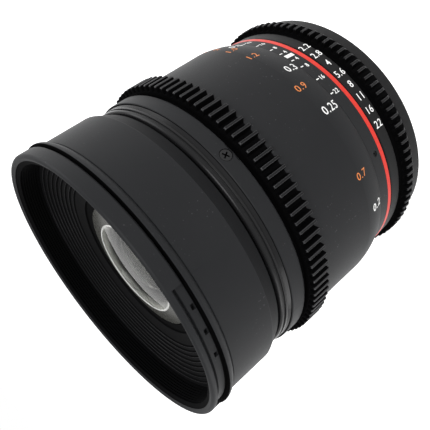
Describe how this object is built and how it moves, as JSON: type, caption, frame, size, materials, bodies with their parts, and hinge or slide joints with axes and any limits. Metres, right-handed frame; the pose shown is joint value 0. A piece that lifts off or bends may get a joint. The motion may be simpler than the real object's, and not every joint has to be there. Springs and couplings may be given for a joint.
{
  "type": "cinema prime lens",
  "caption": "Manual cine lens barrel with a toothed focus ring, a toothed aperture ring, a bladed iris, a sliding focusing group, a bayonet mount and a filter thread in the rim.",
  "frame": {"origin": "centre of the mount's flange face", "axes": "+Z along the optical axis towards the front, +Y towards the index mark"},
  "size_m": [0.0832, 0.0832, 0.0957],
  "materials": {
    "body_black": "fine-grained matte black anodising",
    "gear_black": "matte black anodising",
    "trim_satin": "satin dark grey, turned grooves",
    "red_ring": "satin red anodising",
    "mount_chrome": "turned and chromed",
    "screw_steel": "machined",
    "screw_black": "blackened",
    "inner_aluminium": "turned",
    "brass_parts": "turned",
    "baffle_black": "matt, ridged",
    "cell_black": "matt black",
    "lens_glass": "polished and coated",
    "blade_black": "dry black coating"
  },
  "bodies": {
    "barrel": {"mount_bayonet": "mount_chrome", "mount_screws": "screw_steel", "rear_baffle": "baffle_black", "rear_housing": "body_black", "index_ring": "body_black", "index_screws": "screw_black", "red_ring": "red_ring", "guide_barrel": "inner_aluminium", "front_barrel": "body_black", "front_baffle": "baffle_black", "front_cell": "cell_black", "front_element": "lens_glass", "front_retainer": "cell_black", "second_element": "lens_glass", "second_retainer": "cell_black", "iris_housing": "cell_black", "iris_retainer": "cell_black", "rear_cell": "cell_black", "rear_doublet_front": "lens_glass", "rear_doublet_back": "lens_glass", "rear_doublet_retainer": "cell_black", "rear_element": "lens_glass", "rear_retainer": "cell_black"},
    "focus": {"focus_ring": "body_black", "focus_gear": "gear_black", "focus_collar": "body_black", "collar_screws": "screw_black", "trim_ring": "trim_satin", "cam_barrel": "cell_black"},
    "focus_group": {"focus_carrier": "inner_aluminium", "follower_pins": "brass_parts", "focus_front_element": "lens_glass", "focus_back_element": "lens_glass", "focus_retainer": "cell_black"},
    "aperture": {"aperture_ring": "body_black", "aperture_lever": "screw_steel", "iris_rotor": "brass_parts"},
    "blade_1": {"iris_blade_1": "blade_black"},
    "blade_2": {"iris_blade_2": "blade_black"},
    "blade_3": {"iris_blade_3": "blade_black"},
    "blade_4": {"iris_blade_4": "blade_black"},
    "blade_5": {"iris_blade_5": "blade_black"},
    "blade_6": {"iris_blade_6": "blade_black"},
    "blade_7": {"iris_blade_7": "blade_black"},
    "blade_8": {"iris_blade_8": "blade_black"},
    "blade_9": {"iris_blade_9": "blade_black"}
  },
  "joints": [
    {"name": "focus_turn", "type": "hinge", "parent": "barrel", "child": "focus", "pos_m": [0, 0, 0.04], "axis": [0, 0, 1], "range_deg": [-57, 78]},
    {"name": "focus_slide", "type": "slide", "parent": "barrel", "child": "focus_group", "axis": [0, 0, 1], "range_m": [-0.0011, 0.0015]},
    {"name": "iris_turn", "type": "hinge", "parent": "barrel", "child": "aperture", "pos_m": [0, 0, 0.011], "axis": [0, 0, 1], "range_deg": [0, 46.2]},
    {"name": "blade_1_turn", "type": "hinge", "parent": "barrel", "child": "blade_1", "pos_m": [0.0134, 0, 0.0275], "axis": [0, 0, 1], "range_deg": [-0.5, 32.5]},
    {"name": "blade_2_turn", "type": "hinge", "parent": "barrel", "child": "blade_2", "pos_m": [0.01026, 0.00861, 0.0275], "axis": [0, 0, 1], "range_deg": [-0.5, 32.5]},
    {"name": "blade_3_turn", "type": "hinge", "parent": "barrel", "child": "blade_3", "pos_m": [0.00233, 0.0132, 0.0275], "axis": [0, 0, 1], "range_deg": [-0.5, 32.5]},
    {"name": "blade_4_turn", "type": "hinge", "parent": "barrel", "child": "blade_4", "pos_m": [-0.0067, 0.0116, 0.0275], "axis": [0, 0, 1], "range_deg": [-0.5, 32.5]},
    {"name": "blade_5_turn", "type": "hinge", "parent": "barrel", "child": "blade_5", "pos_m": [-0.01259, 0.00458, 0.0275], "axis": [0, 0, 1], "range_deg": [-0.5, 32.5]},
    {"name": "blade_6_turn", "type": "hinge", "parent": "barrel", "child": "blade_6", "pos_m": [-0.01259, -0.00458, 0.0275], "axis": [0, 0, 1], "range_deg": [-0.5, 32.5]},
    {"name": "blade_7_turn", "type": "hinge", "parent": "barrel", "child": "blade_7", "pos_m": [-0.0067, -0.0116, 0.0275], "axis": [0, 0, 1], "range_deg": [-0.5, 32.5]},
    {"name": "blade_8_turn", "type": "hinge", "parent": "barrel", "child": "blade_8", "pos_m": [0.00233, -0.0132, 0.0275], "axis": [0, 0, 1], "range_deg": [-0.5, 32.5]},
    {"name": "blade_9_turn", "type": "hinge", "parent": "barrel", "child": "blade_9", "pos_m": [0.01026, -0.00861, 0.0275], "axis": [0, 0, 1], "range_deg": [-0.5, 32.5]}
  ],
  "couplings": [
    {"joint": "focus_slide", "follows": "focus_turn", "m_per_rad": 0.001},
    {"joint": "blade_1_turn", "follows": "iris_turn", "ratio": 0.69264},
    {"joint": "blade_2_turn", "follows": "iris_turn", "ratio": 0.69264},
    {"joint": "blade_3_turn", "follows": "iris_turn", "ratio": 0.69264},
    {"joint": "blade_4_turn", "follows": "iris_turn", "ratio": 0.69264},
    {"joint": "blade_5_turn", "follows": "iris_turn", "ratio": 0.69264},
    {"joint": "blade_6_turn", "follows": "iris_turn", "ratio": 0.69264},
    {"joint": "blade_7_turn", "follows": "iris_turn", "ratio": 0.69264},
    {"joint": "blade_8_turn", "follows": "iris_turn", "ratio": 0.69264},
    {"joint": "blade_9_turn", "follows": "iris_turn", "ratio": 0.69264}
  ]
}
